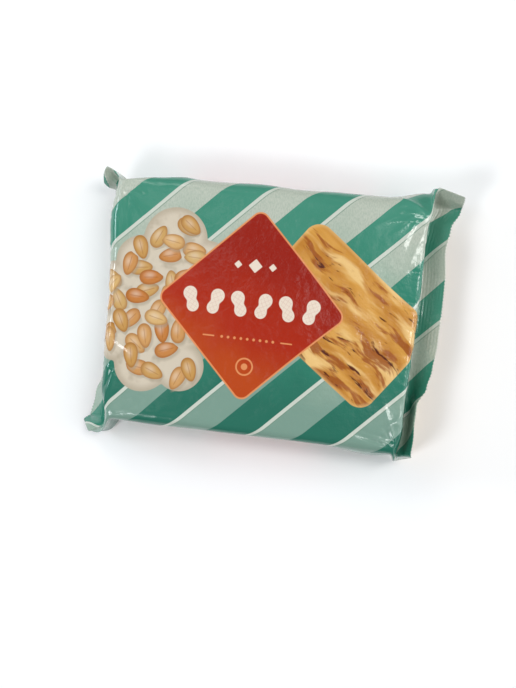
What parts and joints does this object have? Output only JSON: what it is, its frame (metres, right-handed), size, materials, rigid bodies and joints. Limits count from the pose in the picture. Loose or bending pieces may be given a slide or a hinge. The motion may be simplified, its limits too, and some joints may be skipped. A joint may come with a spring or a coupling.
{
  "type": "flow-wrapped pack of peanut fudge",
  "caption": "Shut flow-wrapped pack: a flat brick in printed glossy film, with crimped end fins and folded corner ears. It holds a block of peanut fudge.",
  "frame": {"origin": "middle of the flat back of the pack, on the surface that it rests on", "axes": "+X along the pack towards the end whose fin stands out, +Y across the pack towards the top of the printed face, +Z out of the printed face"},
  "size_m": [0.1369, 0.105, 0.0283],
  "materials": {
    "printed_film": "glossy printed film"
  },
  "bodies": {
    "root": {"wrapped_fudge_pack": "printed_film"}
  },
  "joints": []
}
